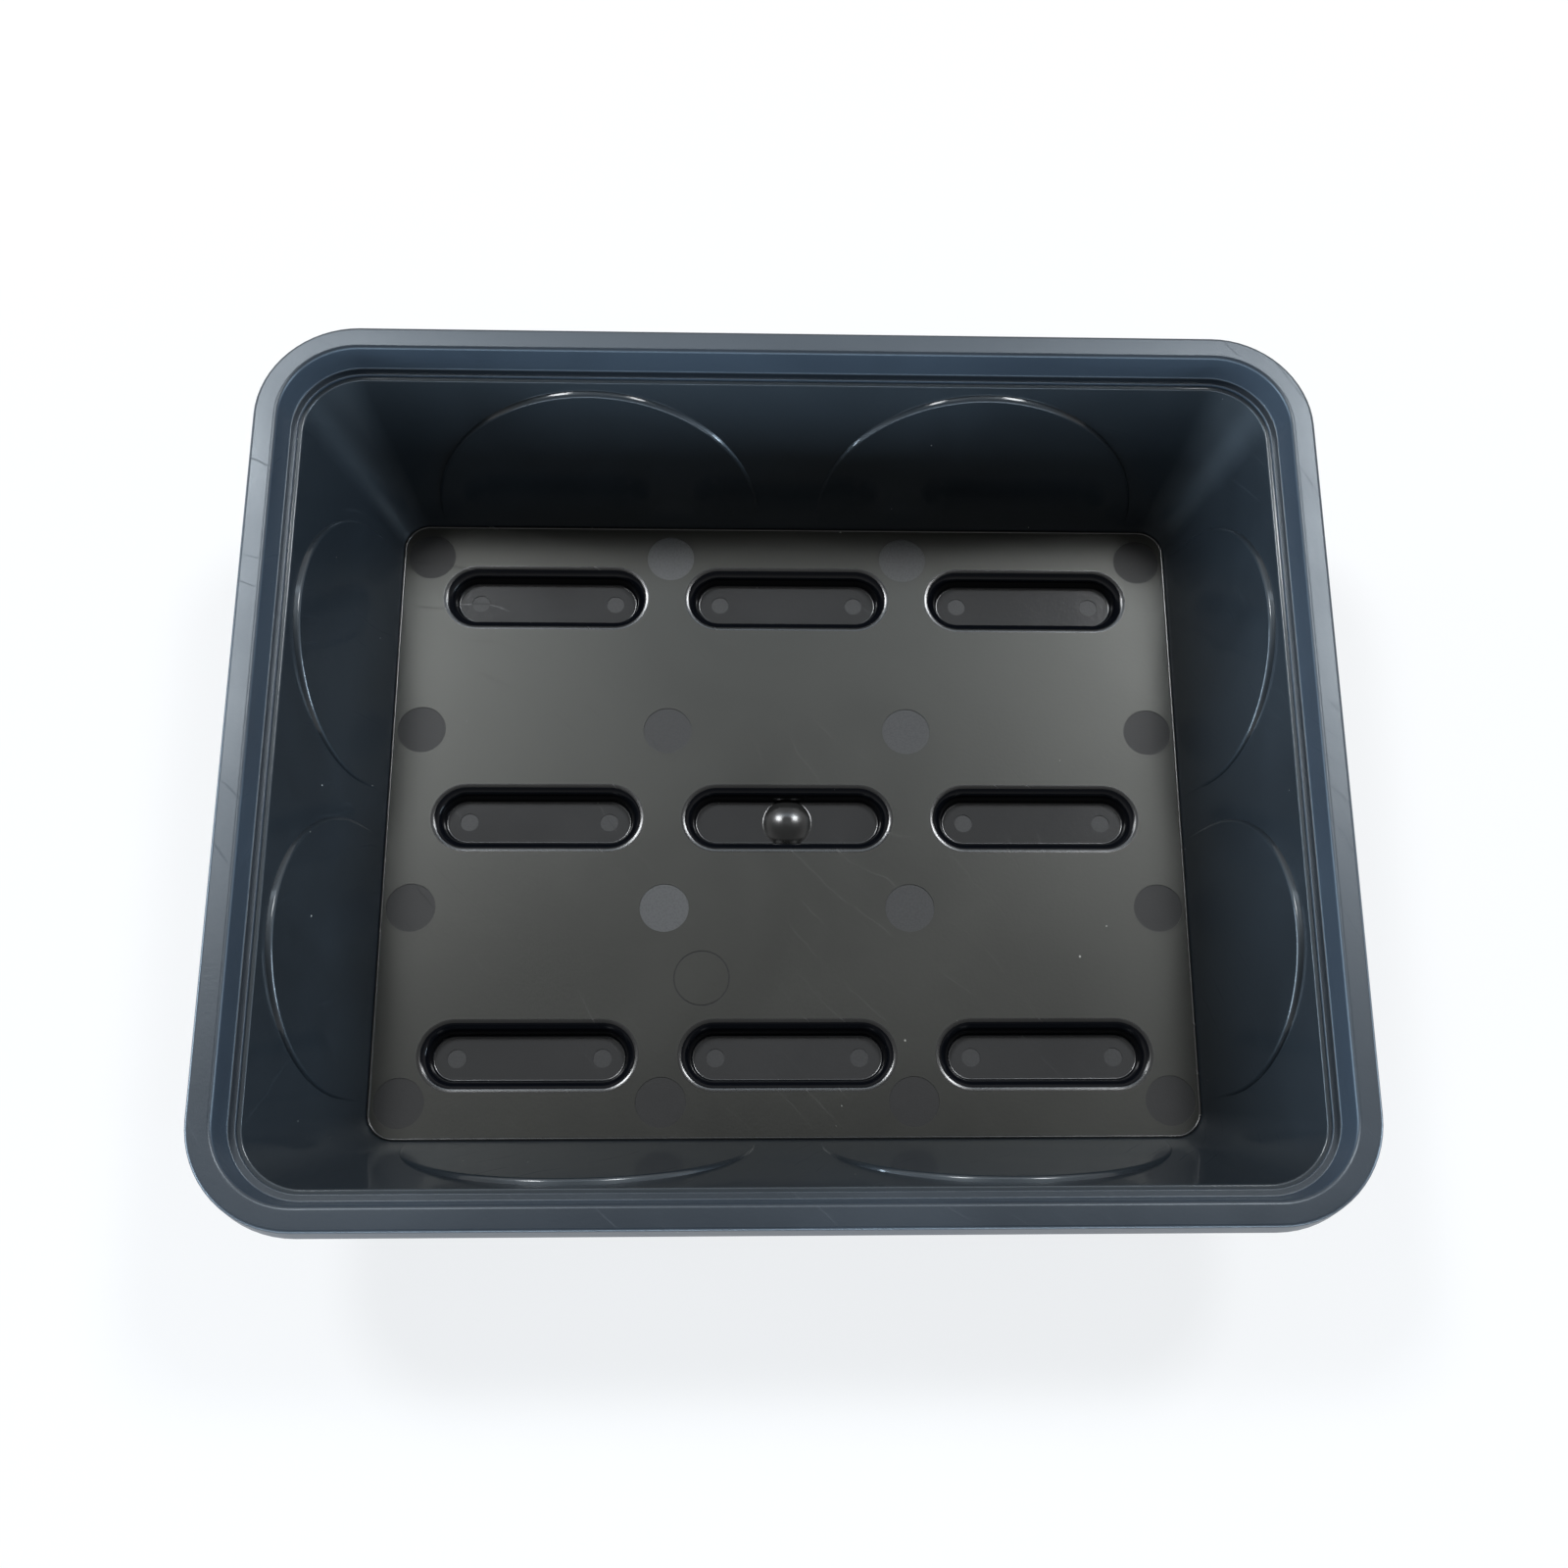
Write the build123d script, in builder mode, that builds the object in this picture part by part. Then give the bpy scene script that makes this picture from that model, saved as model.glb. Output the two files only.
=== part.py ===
from build123d import *
import os
from math import atan2, cos, hypot, radians, sin, tan

os.makedirs("parts", exist_ok=True)

# A shallow rectangular tray, moulded in one piece. Millimetres, +Z up. The long side runs
# along X, the front is at -Y, and the nine feet stand on the plane z = 0 under the centre.

# Rim, measured over the foot of its skirt
rim_length = 231.5
rim_width = 194.5
rim_corner_radius = 22.0
tray_height = 56.0

# Rim section, from the outside in
skirt_height = 6.0
skirt_thickness = 1.6
skirt_flare = 0.7
flange_width = 5.0
flange_thickness = 1.8
seat_depth = 6.6
seat_step_lean = 1.2
seat_width = 1.6
lip_drop = 0.7
lip_width = 0.9
rim_edge_radius = 0.6
flange_edge_radius = 0.8
lip_edge_radius = 0.3

# Bowl
floor_length = 184.0
floor_width = 147.4
floor_corner_radius = 6.0
wall_thickness = 1.8
floor_thickness = 2.0
bowl_edge_radius = 1.2

# Witness groove round the floor, at the foot of the walls
groove_width = 0.5
groove_depth = 0.35

# Obround recesses in the floor, which stand under it as the feet
recess_pitch_x = 57.5
recess_pitch_y = 55.1
recess_columns = 3
recess_rows = 3
recess_length = 44.4
recess_width = 11.8
recess_draft = 11.0
recess_edge_radius = 1.5
foot_height = 4.0
foot_edge_radius = 0.6

# Gate: a dome in the middle recess, with the dimple and the nib of the sprue below it
dome_radius = 5.8
dome_height = 2.1
dimple_radius = 4.6
nib_diameter = 1.6
nib_length = 0.8

# Raised arched panels in the walls, two to a side, which die out just above the floor
panel_rise = 1.3
panel_edge_slope = 20.0
panel_top_margin = 2.8
panel_foot_gap = 0.8
panel_core_inset = 1.4
long_panel_half_width = 37.9
long_panel_spring = 3.4
long_panel_spacing = 89.8
short_panel_half_width = 30.6
short_panel_spring = 10.8
short_panel_spacing = 70.8

# Round witness marks of the ejector pins, the date stamp and the core pins
ejector_diameter = 11.2
ejector_outer_x = 85.2
ejector_inner_x = 28.0
ejector_outer_y = 65.5
ejector_inner_y = 21.4
core_pin_diameter = 4.2
core_pin_spacing = 32.3
stamp_diameter = 12.4
stamp_line = 0.3
stamp_x = -19.3
stamp_y = -37.7
mark_depth = 0.15

# Heights of the section
floor_top = foot_height + floor_thickness
recess_floor = floor_thickness
seat_top = tray_height - seat_depth
wall_top = seat_top - lip_drop

# How far each corner of the rim section lies inside the skirt's foot
flange_inset = skirt_flare + flange_width
seat_outer_inset = flange_inset + seat_step_lean
seat_inner_inset = seat_outer_inset + seat_width
wall_inset = seat_inner_inset + lip_width

# A solid of the walls reaches this far into its neighbour, so that the two join
overlap = 0.5

# A flat face within this of a height lies at that height
level_band = 0.05

up = Vector(0, 0, 1)


def rim_outline(inset):
    # Length, width and corner radius of a rim outline set in from the skirt's foot
    return rim_length - 2 * inset, rim_width - 2 * inset, rim_corner_radius - inset


def wall_outline(z, outward=0.0):
    # The walls' inner outline at height z, grown evenly from the floor's edge to the seat lip
    top_length, top_width, top_radius = rim_outline(wall_inset)
    share = (z - floor_top) / (wall_top - floor_top)
    length = floor_length + share * (top_length - floor_length)
    width = floor_width + share * (top_width - floor_width)
    radius = floor_corner_radius + share * (top_radius - floor_corner_radius)
    return length + 2 * outward, width + 2 * outward, radius + outward


def level_faces(z):
    # The tray's flat faces at height z, the largest last
    level = tray.faces().filter_by(Axis.Z)
    return level.filter_by_position(Axis.Z, z - level_band, z + level_band).sort_by(SortBy.AREA)


def block(lower_z, lower_outline, upper_z, upper_outline, mode=Mode.ADD):
    # A straight-sided block between two rounded outlines
    with BuildSketch(Plane.XY.offset(lower_z)) as lower:
        RectangleRounded(*lower_outline)
    with BuildSketch(Plane.XY.offset(upper_z)) as upper:
        RectangleRounded(*upper_outline)
    loft(sections=[lower.sketch, upper.sketch], ruled=True, mode=mode)


def cap(base_z, base_radius, height, mode):
    # A shallow spherical cap on the tray's axis, carried on a little below its base
    sphere_radius = (base_radius**2 + height**2) / (2 * height)
    with BuildSketch(Plane.XZ) as section:
        with BuildLine():
            crown = RadiusArc((0, base_z + height), (base_radius, base_z), sphere_radius)
            root = Polyline(crown @ 1, (base_radius, base_z - overlap), (0, base_z - overlap))
            Line(root @ 1, crown @ 0)
        make_face()
    revolve(section.sketch, axis=Axis.Z, mode=mode)


def panel_plane(along, outward, half_foot, half_top, depth):
    # A plane parallel to the face of a wall's raised panels and this far out from it. The face
    # turns about a line just above the wall's foot; y runs up the wall and z out through it.
    lean = atan2(half_top - half_foot, wall_top - floor_top)
    face_lean = lean - atan2(panel_rise, panel_length(half_foot, half_top))
    foot = outward * (half_foot + panel_foot_gap * tan(lean)) + up * (floor_top + panel_foot_gap)
    normal = outward * cos(face_lean) - up * sin(face_lean)
    return Plane(origin=foot + normal * depth, x_dir=along, z_dir=normal)


def panel_length(half_foot, half_top):
    # From the line where the panels die out up to the wall's top
    wall_height = wall_top - floor_top
    return hypot(half_top - half_foot, wall_height) * (1 - panel_foot_gap / wall_height)


def panel_head(plane, centre, spring, half_width, head_height):
    # A round-headed outline, carried on below the line where the panel dies out
    with BuildSketch(plane) as head:
        with BuildLine():
            arch = EllipticalCenterArc((centre, spring), half_width, head_height, arc_size=180)
            left = Line(arch @ 1, (centre - half_width, -panel_foot_gap))
            right = Line(arch @ 0, (centre + half_width, -panel_foot_gap))
            Line(left @ 1, right @ 1)
        make_face()
    return head.sketch


def panel_pair(wall, near_depth, near_growth, far_depth, far_growth, mode):
    # Both panels of a wall, or the hollows behind them, between two depths from the panels' face
    along, outward, half_foot, half_top, half_width, spring, spacing = wall
    height = panel_length(half_foot, half_top) - panel_top_margin - spring
    near_plane = panel_plane(along, outward, half_foot, half_top, near_depth)
    far_plane = panel_plane(along, outward, half_foot, half_top, far_depth)
    for centre in (-spacing / 2, spacing / 2):
        near_size = (half_width + near_growth, height + near_growth)
        far_size = (half_width + far_growth, height + far_growth)
        near_head = panel_head(near_plane, centre, spring, *near_size)
        far_head = panel_head(far_plane, centre, spring, *far_size)
        loft(sections=[near_head, far_head], ruled=True, mode=mode)


# Each wall as the direction along it, the way out through it, half the floor's and the wall
# top's span across it, and its panels' half width, the height where they start to round, and
# spacing
top_length, top_width, top_radius = rim_outline(wall_inset)
long_panels = (long_panel_half_width, long_panel_spring, long_panel_spacing)
short_panels = (short_panel_half_width, short_panel_spring, short_panel_spacing)
long_wall = (floor_width / 2, top_width / 2, *long_panels)
short_wall = (floor_length / 2, top_length / 2, *short_panels)
walls = [
    (Vector(-1, 0, 0), Vector(0, 1, 0), *long_wall),
    (Vector(1, 0, 0), Vector(0, -1, 0), *long_wall),
    (Vector(0, 1, 0), Vector(1, 0, 0), *short_wall),
    (Vector(0, -1, 0), Vector(-1, 0, 0), *short_wall),
]

# Walls of even thickness: the outside is moved out level by this much
wall_lean = atan2((top_length - floor_length) / 2, wall_top - floor_top)
wall_outset = wall_thickness / cos(wall_lean)
shoulder_z = seat_top - wall_thickness

# The recesses draw in by this much from the floor to the feet
foot_taper = foot_height * tan(radians(recess_draft))
recess_grid = GridLocations(recess_pitch_x, recess_pitch_y, recess_columns, recess_rows)
ejector_places = [
    (x, y)
    for x in (-ejector_outer_x, -ejector_inner_x, ejector_inner_x, ejector_outer_x)
    for y in (-ejector_outer_y, -ejector_inner_y, ejector_inner_y, ejector_outer_y)
]
core_pin_places = [
    (place.position.X + side * core_pin_spacing / 2, place.position.Y)
    for place in recess_grid.locations
    for side in (-1, 1)
    if place.position.length > dome_radius
]

with BuildPart() as tray:
    # Flange and skirt, open below
    block(tray_height - skirt_height, rim_outline(0), tray_height, rim_outline(skirt_flare))
    block(
        tray_height - skirt_height,
        rim_outline(skirt_thickness),
        tray_height - flange_thickness,
        rim_outline(skirt_flare + skirt_thickness),
        mode=Mode.SUBTRACT,
    )

    # Outside of the seat's step, then of the bowl
    block(
        shoulder_z,
        rim_outline(seat_outer_inset - wall_thickness),
        tray_height - flange_thickness / 2,
        rim_outline(flange_inset - wall_thickness),
    )
    block(
        foot_height,
        wall_outline(foot_height, wall_outset),
        shoulder_z + overlap,
        wall_outline(shoulder_z + overlap, wall_outset),
    )
    underside = tray.faces().sort_by(Axis.Z)[0]
    fillet(underside.edges(), bowl_edge_radius)

    # Inside: the step down to the lid seat, the lip below it and the bowl
    seat_outer = rim_outline(seat_outer_inset)
    seat_inner = rim_outline(seat_inner_inset)
    block(seat_top, seat_outer, tray_height, rim_outline(flange_inset), mode=Mode.SUBTRACT)
    block(wall_top, seat_inner, seat_top, seat_inner, mode=Mode.SUBTRACT)
    block(
        floor_top - groove_depth,
        wall_outline(floor_top - groove_depth),
        wall_top,
        wall_outline(wall_top),
        mode=Mode.SUBTRACT,
    )

    # Rounded edges of the rim and the seat
    rim_top = tray.faces().sort_by(Axis.Z)[-1]
    fillet(rim_top.outer_wire().edges(), rim_edge_radius)
    rim_top = tray.faces().sort_by(Axis.Z)[-1]
    fillet(rim_top.inner_wires().edges(), flange_edge_radius)
    fillet(level_faces(seat_top)[-1].inner_wires().edges(), lip_edge_radius)

    # Raised panels inside, and the hollows that keep the wall even behind them
    panel_root = panel_rise + overlap
    panel_spread = panel_root * tan(radians(panel_edge_slope))
    hollow_root = wall_thickness + panel_root
    for wall in walls:
        panel_pair(wall, 0, 0, panel_root, panel_spread, Mode.ADD)
        panel_pair(
            wall,
            wall_thickness,
            -panel_core_inset,
            hollow_root,
            -panel_core_inset,
            Mode.SUBTRACT,
        )

    # The floor's plateau inside the groove
    plateau = wall_outline(floor_top, -groove_width)
    block(floor_top - groove_depth - overlap, plateau, floor_top, plateau)

    # Feet, wider upwards by the draft, and the recesses that leave their walls even
    foot_length = recess_length - 2 * foot_taper + 2 * wall_thickness
    foot_width = recess_width - 2 * foot_taper + 2 * wall_thickness
    with BuildSketch(Plane.XY):
        with recess_grid:
            SlotOverall(foot_length, foot_width)
    extrude(amount=foot_height + overlap, taper=-recess_draft)
    fillet(level_faces(0).edges(), foot_edge_radius)
    with BuildSketch(Plane.XY.offset(floor_top)):
        with recess_grid:
            SlotOverall(recess_length, recess_width)
    extrude(amount=-foot_height, taper=recess_draft, mode=Mode.SUBTRACT)
    fillet(level_faces(floor_top)[-1].inner_wires().edges(), recess_edge_radius)

    # Gate in the middle recess
    cap(recess_floor, dome_radius, dome_height, Mode.ADD)
    cap(0, dimple_radius, dome_height, Mode.SUBTRACT)
    with BuildSketch(Plane.XY.offset(dome_height + overlap)):
        Circle(nib_diameter / 2)
    extrude(amount=-(nib_length + overlap))

    # Marks of the mould's pins, sunk in the floor and in the outer recesses
    with BuildSketch(Plane.XY.offset(floor_top)):
        with Locations(*ejector_places):
            Circle(ejector_diameter / 2)
        with Locations((stamp_x, stamp_y)):
            Circle(stamp_diameter / 2 + stamp_line / 2)
            Circle(stamp_diameter / 2 - stamp_line / 2, mode=Mode.SUBTRACT)
    extrude(amount=-mark_depth, mode=Mode.SUBTRACT)
    with BuildSketch(Plane.XY.offset(recess_floor)):
        with Locations(*core_pin_places):
            Circle(core_pin_diameter / 2)
    extrude(amount=-mark_depth, mode=Mode.SUBTRACT)

tray.part.label = "tray"
export_step(tray.part, "parts/tray.step")
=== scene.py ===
import bmesh
import bpy
from bmesh.types import BMEdge, BMFace, BMVert
from math import atan2, copysign, cos, hypot, pi, radians, sin, tan
from mathutils import Matrix, Vector


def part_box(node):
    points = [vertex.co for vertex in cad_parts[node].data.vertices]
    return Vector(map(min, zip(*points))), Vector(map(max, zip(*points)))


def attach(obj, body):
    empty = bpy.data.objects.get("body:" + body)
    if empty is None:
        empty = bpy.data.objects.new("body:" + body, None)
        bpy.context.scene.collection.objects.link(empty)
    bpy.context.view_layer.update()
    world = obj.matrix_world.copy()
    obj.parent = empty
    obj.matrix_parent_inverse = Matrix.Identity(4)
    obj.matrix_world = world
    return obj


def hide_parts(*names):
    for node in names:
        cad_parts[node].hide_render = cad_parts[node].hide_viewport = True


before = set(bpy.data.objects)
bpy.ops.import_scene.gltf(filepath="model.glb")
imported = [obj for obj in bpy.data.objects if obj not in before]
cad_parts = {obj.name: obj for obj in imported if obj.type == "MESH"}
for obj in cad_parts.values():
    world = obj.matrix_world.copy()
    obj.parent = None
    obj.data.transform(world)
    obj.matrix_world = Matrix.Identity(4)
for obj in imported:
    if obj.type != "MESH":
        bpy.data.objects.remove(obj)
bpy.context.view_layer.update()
trayLow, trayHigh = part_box("tray")
print("frame loaded")

# The tray is modelled in millimetres, standing on z = 0, and made metres at the end
perMetre = 1000.0
scene = bpy.context.scene

cameraView = {
    "imageWidth": 1600.0,  # pixels of the picture that the view was fitted to
    "focalLength": 1791.9,  # pixels
    "centre": (846.45, 838.79),  # where the lens points, in pixels from the top left
    "place": (-5.504, -119.41, 394.73),  # millimetres
    "tilt": 0.2982,  # radians
    "turn": -0.12845,
    "roll": 0.12523,
    "sensor": 36.0,  # millimetres
    "nearest": 10.0,  # millimetres; what is nearer isn't drawn
}


def addCamera():
    view = cameraView
    half = view["imageWidth"] / 2
    camera = bpy.data.objects.new("camera", bpy.data.cameras.new("camera"))
    camera.data.sensor_width = view["sensor"]
    camera.data.lens = view["focalLength"] / view["imageWidth"] * view["sensor"]
    camera.data.shift_x = (half - view["centre"][0]) / view["imageWidth"]
    camera.data.shift_y = (view["centre"][1] - half) / view["imageWidth"]
    camera.data.clip_start = view["nearest"] / perMetre
    turned = Matrix.Rotation(view["turn"], 4, "Z") @ Matrix.Rotation(view["tilt"], 4, "X")
    turned = turned @ Matrix.Rotation(view["roll"], 4, "Z")
    camera.matrix_world = Matrix.Translation(Vector(view["place"]) / perMetre) @ turned
    scene.collection.objects.link(camera)
    scene.camera = camera


addCamera()
print("camera placed")

sameSpot = 0.0001  # points of one outline that lie this close are one
weldGap = 0.001  # the same, once the blocks are joined
overlap = 0.5  # how far a joined block reaches into its neighbour
standOut = 1.0  # how far a cutting block stands out of the face that it cuts


def roundedRing(outline):
    # Where the corner centres of a rounded outline (length, width, radius) lie
    length, width, radius = outline
    return Vector((length / 2 - radius, width / 2 - radius)), radius


def reshape(verts, before, after, height):
    # Moves a ring of points from one rounded outline to another, at a new height
    oldCentre, oldRadius = roundedRing(before)
    newCentre, newRadius = roundedRing(after)
    for vert in verts:
        side = Vector((copysign(1, vert.co.x), copysign(1, vert.co.y)))
        away = (vert.co.xy - oldCentre * side) / oldRadius
        flat = newCentre * side + away * newRadius
        vert.co = (flat.x, flat.y, height)


def only(kind, parts):
    return [part for part in parts if isinstance(part, kind)]


def addPlate(bm, length, width, middle):
    # A flat rectangle; gives its corners
    corners = bmesh.ops.create_grid(bm, x_segments=1, y_segments=1, size=0.5)["verts"]
    bmesh.ops.scale(bm, vec=(length, width, 1), verts=corners)
    bmesh.ops.translate(bm, vec=middle, verts=corners)
    return corners


def roundCorners(bm, corners, radius, steps):
    bmesh.ops.bevel(
        bm,
        geom=corners,
        offset=radius,
        affect="VERTICES",
        segments=steps,
        profile=0.5,
        material=-1,
    )
    bmesh.ops.remove_doubles(bm, verts=bm.verts[:], dist=sameSpot)


def stack(bm, levels, arcSteps, material=0, capMaterial=None):
    # A closed block through rounded outlines, each (outline, height) and, where it changes, the
    # material of the faces that lead there. Gives each ring's edges.
    outline, height, *change = levels[0]
    material = change[0] if change else material
    length, width, radius = outline
    roundCorners(bm, addPlate(bm, length, width, (0, 0, height)), radius, arcSteps)
    bm.faces.ensure_lookup_table()
    bm.faces[0].material_index = material
    ring = bm.edges[:]
    rings = [ring]
    for nextOutline, nextHeight, *change in levels[1:]:
        material = change[0] if change else material
        grown = bmesh.ops.extrude_edge_only(bm, edges=ring)["geom"]
        ring = only(BMEdge, grown)
        for face in only(BMFace, grown):
            face.material_index = material
        reshape(only(BMVert, grown), outline, nextOutline, nextHeight)
        outline = nextOutline
        rings.append(ring)
    cap = bmesh.ops.contextual_create(bm, geom=ring)["faces"]
    cap[0].material_index = material if capMaterial is None else capMaterial
    bmesh.ops.recalc_face_normals(bm, faces=bm.faces[:])
    return rings


def softenRing(bm, ring, radius, steps):
    # Rounds one ring of a stack
    bmesh.ops.bevel(
        bm,
        geom=ring,
        offset=radius,
        offset_type="OFFSET",
        affect="EDGES",
        segments=steps,
        profile=0.5,
        clamp_overlap=False,
        material=-1,
    )


def spread(bm, places):
    # Copies what the bmesh holds to each place, and takes the first away
    first = bm.verts[:] + bm.edges[:] + bm.faces[:]
    for place in places:
        made = bmesh.ops.duplicate(bm, geom=first)["geom"]
        bmesh.ops.transform(bm, matrix=place, verts=only(BMVert, made))
    bmesh.ops.delete(bm, geom=only(BMVert, first))


def makeObject(name, bm, materials):
    mesh = bpy.data.meshes.new(name)
    bm.to_mesh(mesh)
    bm.free()
    for material in materials:
        mesh.materials.append(material)
    made = bpy.data.objects.new(name, mesh)
    scene.collection.objects.link(made)
    return made


def combine(piece, tool, operation):
    # Joins a tool to the piece, or cuts it away, and keeps the result in the piece's mesh
    modifier = piece.modifiers.new(operation.lower(), "BOOLEAN")
    modifier.operation = operation
    modifier.solver = "EXACT"
    modifier.object = tool
    depsgraph = bpy.context.evaluated_depsgraph_get()
    result = bpy.data.meshes.new_from_object(piece.evaluated_get(depsgraph))
    piece.modifiers.clear()
    piece.data = result
    bpy.data.objects.remove(tool)


# The places of the tray's finishes in its list of materials
wallGloss, rimSatin, paintedLitStep, floorSatin = range(4)
rubbedEdgeAndSheen, recessEdge, recessGround, pinMark = range(4, 8)

traySizes = {
    "rimRadius": 22.0,
    "skirtHeight": 6.0,
    "skirtThickness": 1.6,
    "skirtFlare": 0.7,
    "flangeWidth": 5.0,
    "flangeThickness": 1.8,
    "seatDepth": 6.6,
    "stepLean": 1.2,
    "seatWidth": 1.6,
    "lipDrop": 0.7,
    "lipWidth": 0.9,
    "floorLength": 184.0,
    "floorWidth": 147.4,
    "floorRadius": 6.0,
    "wall": 1.8,
    "floorThickness": 2.0,
    "grooveWidth": 0.05,
    "grooveDepth": 0.5,
    "beadWidth": 0.6,
    "beadHeight": 0.24,
    "beadSteps": 10,
    "arcSteps": 16,
    "sharpAngle": radians(38.0),  # edges that turn more than this stay sharp
    "flatWeight": 80,  # how much the large faces lead the shading, of 100
    "rounds": {  # each edge's radius and steps, from the walls' top over the rim to the underside
        "lip": (0.3, 3),
        "seatEdge": (0.25, 3),
        "stepFoot": (0.3, 3),
        "flangeInside": (0.8, 5),
        "flangeOutside": (0.7, 5),
        "skirtFoot": (0.35, 3),
        "skirtRoot": (0.5, 3),
        "stepBack": (0.5, 3),
        "shoulderOutside": (0.6, 3),
        "shoulderInside": (0.4, 3),
        "bowlFoot": (1.2, 5),
    },
}

recessSizes = {
    "pitch": (57.5, 55.1),
    "length": 44.4,
    "width": 11.8,
    "draft": radians(11.0),
    "footHeight": 4.0,
    "edgeRound": 2.8,
    "edgeSteps": 9,
    "rubbedSteps": 2,  # of them, from the floor on, and the last of the root's
    "rootRound": 0.5,
    "rootSteps": 3,
    "footRound": 0.6,
    "footSteps": 3,
    "arcSteps": 16,
}

panelSizes = {
    "rise": 1.3,
    "topMargin": 2.8,
    "footGap": 0.8,
    "edgeRound": 0.9,
    "edgeSteps": 5,
    "edgeSlope": radians(20.0),
    "coreInset": 1.4,
    "arcSteps": 32,
    "long": {"halfWidth": 37.9, "spring": 3.4, "spacing": 89.8},
    "short": {"halfWidth": 30.6, "spring": 10.8, "spacing": 70.8},
}

markSizes = {
    "pinDiameter": 11.2,
    "pinColumns": (-85.2, -28.0, 28.0, 85.2),
    "pinRows": (-65.5, -21.4, 21.4, 65.5),
    "coreDiameter": 4.2,
    "coreSpacing": 32.3,
    "stampDiameter": 12.4,
    "stampLine": 0.3,
    "stampPlace": (-19.3, -37.7),
    "stampSides": 64,
    "depth": 0.15,
    "arcSteps": 12,
    "coreSheenShare": 0.24,  # share of painted sheen, from dull 0 to bright 1, as in the list of ejector marks
    # Ejector marks painted lighter, as painted sheen, and by how much
    "pinSheenShare": {
        (-28.0, 65.5): 1.0,
        (28.0, 65.5): 0.6,
        (-28.0, 21.4): 0.25,
        (28.0, 21.4): 0.5,
        (-28.0, -21.4): 1.0,
        (28.0, -21.4): 0.35,
    },
}

gateSizes = {
    "domeRadius": 5.8,
    "domeHeight": 2.1,
    "dimpleRadius": 4.6,
    "nibRadius": 0.8,
    "nibLength": 0.8,
    "rings": 10,
    "arcSteps": 12,
}

rimLength = (trayHigh[0] - trayLow[0]) * perMetre
rimWidth = (trayHigh[1] - trayLow[1]) * perMetre
rimTop = trayHigh[2] * perMetre
floorTop = recessSizes["footHeight"] + traySizes["floorThickness"]
recessFloor = traySizes["floorThickness"]
seatTop = rimTop - traySizes["seatDepth"]
wallTop = seatTop - traySizes["lipDrop"]
flangeInset = traySizes["skirtFlare"] + traySizes["flangeWidth"]
seatOuterInset = flangeInset + traySizes["stepLean"]
seatInnerInset = seatOuterInset + traySizes["seatWidth"]
wallInset = seatInnerInset + traySizes["lipWidth"]


def rimOutline(inset):
    return rimLength - 2 * inset, rimWidth - 2 * inset, traySizes["rimRadius"] - inset


def wallOutline(height, outward=0.0):
    # The walls' inner outline at a height, from the floor's edge to the lip of the seat
    top = rimOutline(wallInset)
    foot = (traySizes["floorLength"], traySizes["floorWidth"], traySizes["floorRadius"])
    share = (height - floorTop) / (wallTop - floorTop)
    length, width, radius = (low + share * (high - low) for low, high in zip(foot, top))
    return length + 2 * outward, width + 2 * outward, radius + outward


def makeShell(materials):
    # One closed block, ring by ring: floor, the bead and groove round it, walls, seat, rim, skirt,
    # outside, underside
    size = traySizes
    skirtFoot = rimTop - size["skirtHeight"]
    flangeUnder = rimTop - size["flangeThickness"]
    shoulder = seatTop - size["wall"]
    lean = atan2((rimOutline(wallInset)[0] - size["floorLength"]) / 2, wallTop - floorTop)
    outset = size["wall"] / cos(lean)
    stepShare = (flangeUnder - shoulder) / (rimTop - shoulder)
    stepOutside = seatOuterInset - size["wall"]
    grooveFoot = floorTop - size["grooveDepth"]
    half = size["beadWidth"] / 2
    levels = []
    for step in range(size["beadSteps"] + 1):
        angle = step / size["beadSteps"] * pi
        plateau = wallOutline(floorTop, -size["grooveWidth"] - half - half * cos(angle))
        finish = rubbedEdgeAndSheen if step else floorSatin
        levels.append((plateau, floorTop + size["beadHeight"] * sin(angle), finish))
    edges = [  # the rounding's name or None, and the level
        (None, plateau, grooveFoot, wallGloss),
        (None, wallOutline(grooveFoot), grooveFoot),
        ("lip", wallOutline(wallTop), wallTop),
        (None, rimOutline(seatInnerInset), wallTop),
        # The lip's drop and the riser take a lit copy of the rim's finish: painted light
        ("seatEdge", rimOutline(seatInnerInset), seatTop, paintedLitStep),
        ("stepFoot", rimOutline(seatOuterInset), seatTop, rimSatin),
        ("flangeInside", rimOutline(flangeInset), rimTop, paintedLitStep),
        ("flangeOutside", rimOutline(size["skirtFlare"]), rimTop, rimSatin),
        ("skirtFoot", rimOutline(0), skirtFoot),
        ("skirtFoot", rimOutline(size["skirtThickness"]), skirtFoot),
        ("skirtRoot", rimOutline(size["skirtFlare"] + size["skirtThickness"]), flangeUnder),
        ("stepBack", rimOutline(stepOutside - stepShare * size["stepLean"]), flangeUnder),
        ("shoulderOutside", rimOutline(stepOutside), shoulder, wallGloss),
        ("shoulderInside", wallOutline(shoulder, outset), shoulder),
        ("bowlFoot", wallOutline(recessSizes["footHeight"], outset), recessSizes["footHeight"]),
    ]
    bm = bmesh.new()
    rings = stack(bm, levels + [level for _, *level in edges], size["arcSteps"])
    for ring, (name, *_) in zip(rings[len(levels) :], edges):
        if name:
            softenRing(bm, ring, *size["rounds"][name])
    return makeObject("tray", bm, materials)


def recessPlaces():
    stepX, stepY = recessSizes["pitch"]
    return [
        Matrix.Translation((column * stepX, row * stepY, 0))
        for column in (-1, 0, 1)
        for row in (-1, 0, 1)
    ]


def obround(growth):
    # The recess's outline at the floor, grown all round
    width = recessSizes["width"] + 2 * growth
    return recessSizes["length"] + 2 * growth, width, width / 2


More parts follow.
